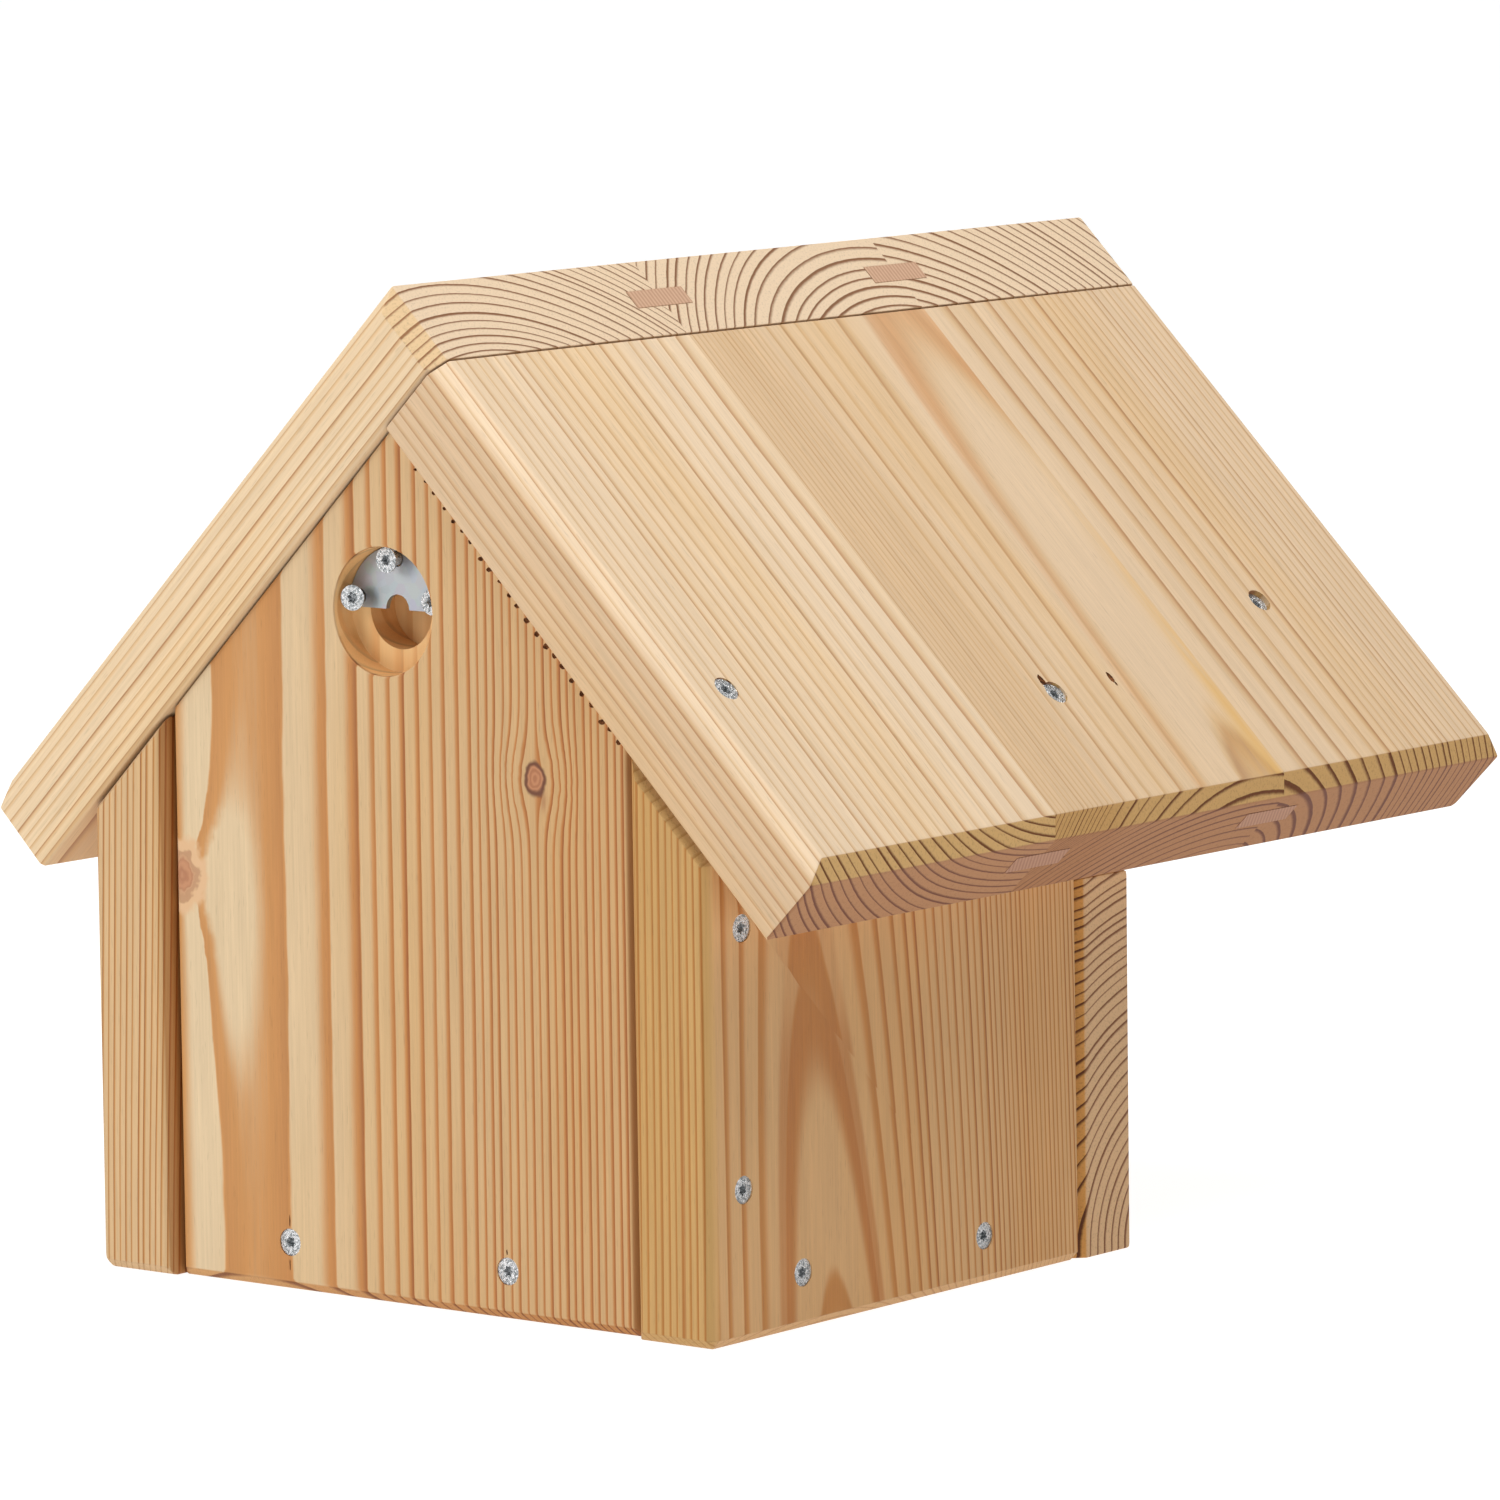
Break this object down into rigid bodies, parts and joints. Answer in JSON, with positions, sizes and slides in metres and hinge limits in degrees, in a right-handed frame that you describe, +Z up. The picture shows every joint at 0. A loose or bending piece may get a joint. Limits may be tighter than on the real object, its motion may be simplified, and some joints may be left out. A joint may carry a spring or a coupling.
{
  "type": "open-fronted nest box",
  "caption": "Open-fronted gable-roofed nest box of thick larch boards, with a low front board, a hanging front gable board, splined roof panels and a recessed steel hanger plate",
  "frame": {"origin": "centre of the object's box in plan, on the plane that the walls and floor stand on", "axes": "+Z up, +Y from the wall side (rear) to the open front along the ridge, +X to the right seen from the rear"},
  "size_m": [0.2884, 0.321, 0.2782],
  "materials": {
    "rear_wall_larch": "planed, unfinished larch, warm orange-brown latewood bands",
    "side_wall_larch": "planed, unfinished larch",
    "front_larch": "planed, unfinished larch, end grain at the sides",
    "floor_larch": "planed, unfinished larch",
    "roof_larch": "planed, unfinished larch, edge-glued staves with fine straight latewood lines",
    "tongue_larch": "sawn larch strip, pinkish, seen on its end grain",
    "zinc_screws": "bright zinc-plated steel",
    "galvanised_plate": "galvanised sheet steel, satin"
  },
  "bodies": {
    "root": {"floor_board": "floor_larch", "front_board": "front_larch", "front_gable_board": "front_larch", "rear_wall": "rear_wall_larch", "side_wall_left": "side_wall_larch", "side_wall_right": "side_wall_larch", "roof_left_stave_1": "roof_larch", "roof_left_stave_2": "roof_larch", "roof_left_stave_3": "roof_larch", "roof_left_tongue_1": "tongue_larch", "roof_left_tongue_2": "tongue_larch", "roof_right_stave_1": "roof_larch", "roof_right_stave_2": "roof_larch", "roof_right_stave_3": "roof_larch", "roof_right_tongue_1": "tongue_larch", "roof_right_tongue_2": "tongue_larch", "rear_wall_screws": "zinc_screws", "front_board_screws": "zinc_screws", "side_wall_screws_left": "zinc_screws", "side_wall_screws_right": "zinc_screws", "roof_screws_left": "zinc_screws", "roof_screws_right": "zinc_screws", "hanger_screws": "zinc_screws", "hanger_plate": "galvanised_plate"}
  },
  "joints": []
}
